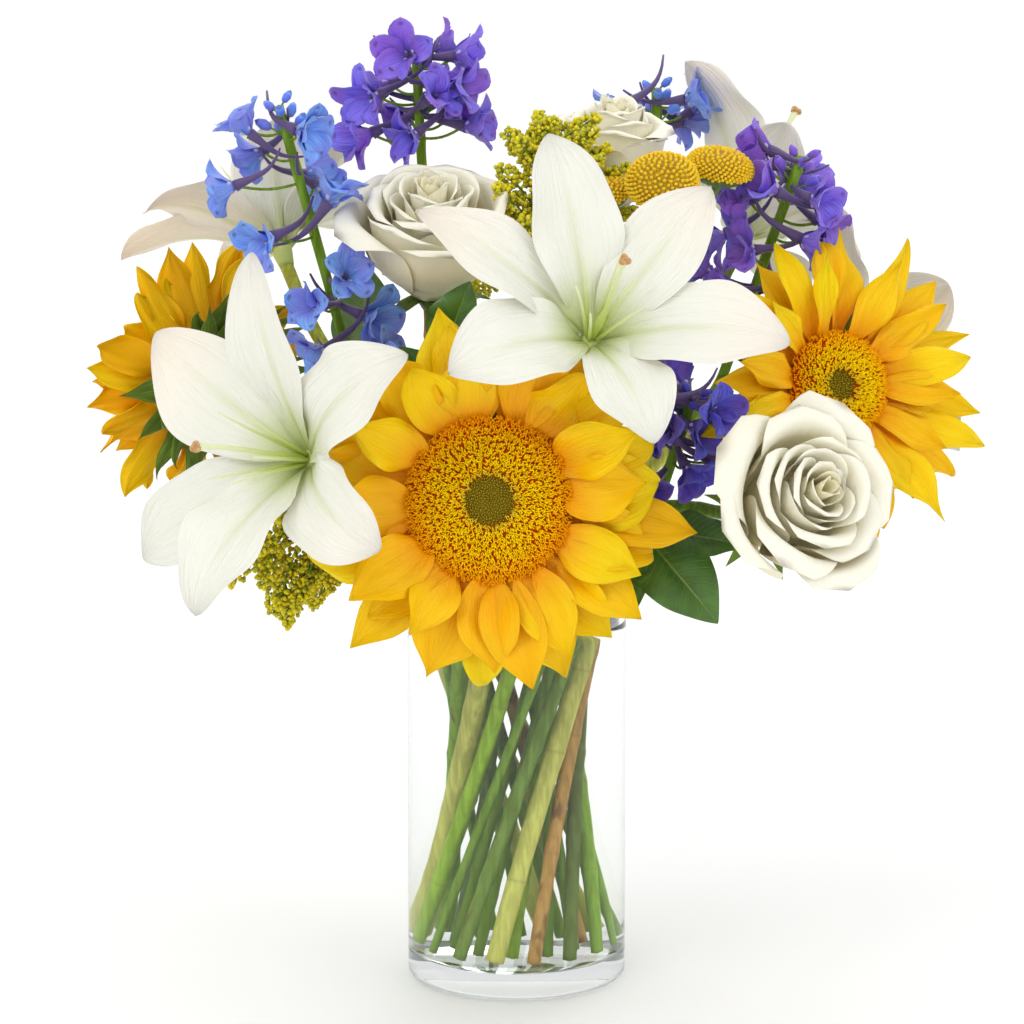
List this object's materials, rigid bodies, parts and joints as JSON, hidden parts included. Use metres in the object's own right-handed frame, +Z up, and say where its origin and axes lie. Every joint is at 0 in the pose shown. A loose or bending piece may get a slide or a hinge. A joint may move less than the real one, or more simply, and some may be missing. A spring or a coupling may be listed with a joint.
{
  "type": "arrangement of sunflowers and mixed cut flowers in a glass vase",
  "caption": "Sunflowers with white lilies, roses, delphinium, goldenrod and leaves in a clear glass cylinder vase part filled with water, standing on its flat foot.",
  "frame": {"origin": "middle of the flat underside of the vase, on the surface it stands on", "axes": "+Z up along the vase's axis; -Y towards the front of the arrangement, which the centre sunflower faces; +X to the right as seen from the front"},
  "size_m": [0.4017, 0.29, 0.4426],
  "materials": {
    "glass": "clear pressed soda-lime glass, fire polished",
    "water": "clear, faintly green water",
    "green_stem": "fresh green stem, satin",
    "pale_stem": "thick pale yellow-green stem with brown scars",
    "sunflower_petal": "golden yellow ray petal, orange at its root, satin",
    "sunflower_disc": "dense orange and dark red florets round an olive centre",
    "bract": "dark green bract, softly hairy",
    "lily_petal": "ivory white petal with a green-tinted throat, satin",
    "lily_pistil": "pale green pistil with a peach stigma",
    "rose_petal": "cream rose petal, warmer in its depths, satin",
    "delphinium_blue": "light blue floret with purple spurs",
    "delphinium_purple": "violet floret with blue edges",
    "delphinium_indigo": "deep indigo floret",
    "goldenrod": "mustard yellow buds on green sprays",
    "button": "golden yellow dome of tiny florets",
    "leaf": "dark green leaf with pale veins, waxy"
  },
  "bodies": {
    "root": {"sunflower_centre_disc": "sunflower_disc", "sunflower_centre_petals": "sunflower_petal", "sunflower_centre_calyx": "bract", "sunflower_centre_stem": "pale_stem", "sunflower_right_disc": "sunflower_disc", "sunflower_right_petals": "sunflower_petal", "sunflower_right_calyx": "bract", "sunflower_right_stem": "pale_stem", "sunflower_left_disc": "sunflower_disc", "sunflower_left_petals": "sunflower_petal", "sunflower_left_calyx": "bract", "sunflower_left_stem": "pale_stem", "lily_centre_petals": "lily_petal", "lily_centre_pistil": "lily_pistil", "lily_centre_stem": "green_stem", "lily_left_petals": "lily_petal", "lily_left_pistil": "lily_pistil", "lily_left_stem": "green_stem", "lily_back_left_petals": "lily_petal", "lily_back_left_pistil": "lily_pistil", "lily_back_left_stem": "green_stem", "lily_back_right_petals": "lily_petal", "lily_back_right_pistil": "lily_pistil", "lily_back_right_stem": "green_stem", "lily_far_right_petals": "lily_petal", "lily_far_right_pistil": "lily_pistil", "lily_far_right_stem": "green_stem", "rose_upper_left_bloom": "rose_petal", "rose_upper_left_sepals": "bract", "rose_upper_left_stem": "green_stem", "rose_right_bloom": "rose_petal", "rose_right_sepals": "bract", "rose_right_stem": "green_stem", "rose_back_bloom": "rose_petal", "rose_back_sepals": "bract", "rose_back_stem": "green_stem", "rose_low_back_bloom": "rose_petal", "rose_low_back_sepals": "bract", "rose_low_back_stem": "green_stem", "delphinium_left": "delphinium_blue", "delphinium_top": "delphinium_purple", "delphinium_back_right": "delphinium_blue", "delphinium_right": "delphinium_purple", "delphinium_low_right": "delphinium_indigo", "goldenrod_top": "goldenrod", "goldenrod_low_left": "goldenrod", "goldenrod_back": "goldenrod", "button_1": "button", "button_2": "button", "button_3": "button", "button_stem": "green_stem", "leafy_twig_right": "leaf", "leafy_twig_left": "leaf", "leafy_twig_back": "leaf", "vase": "glass", "water": "water"}
  },
  "joints": []
}
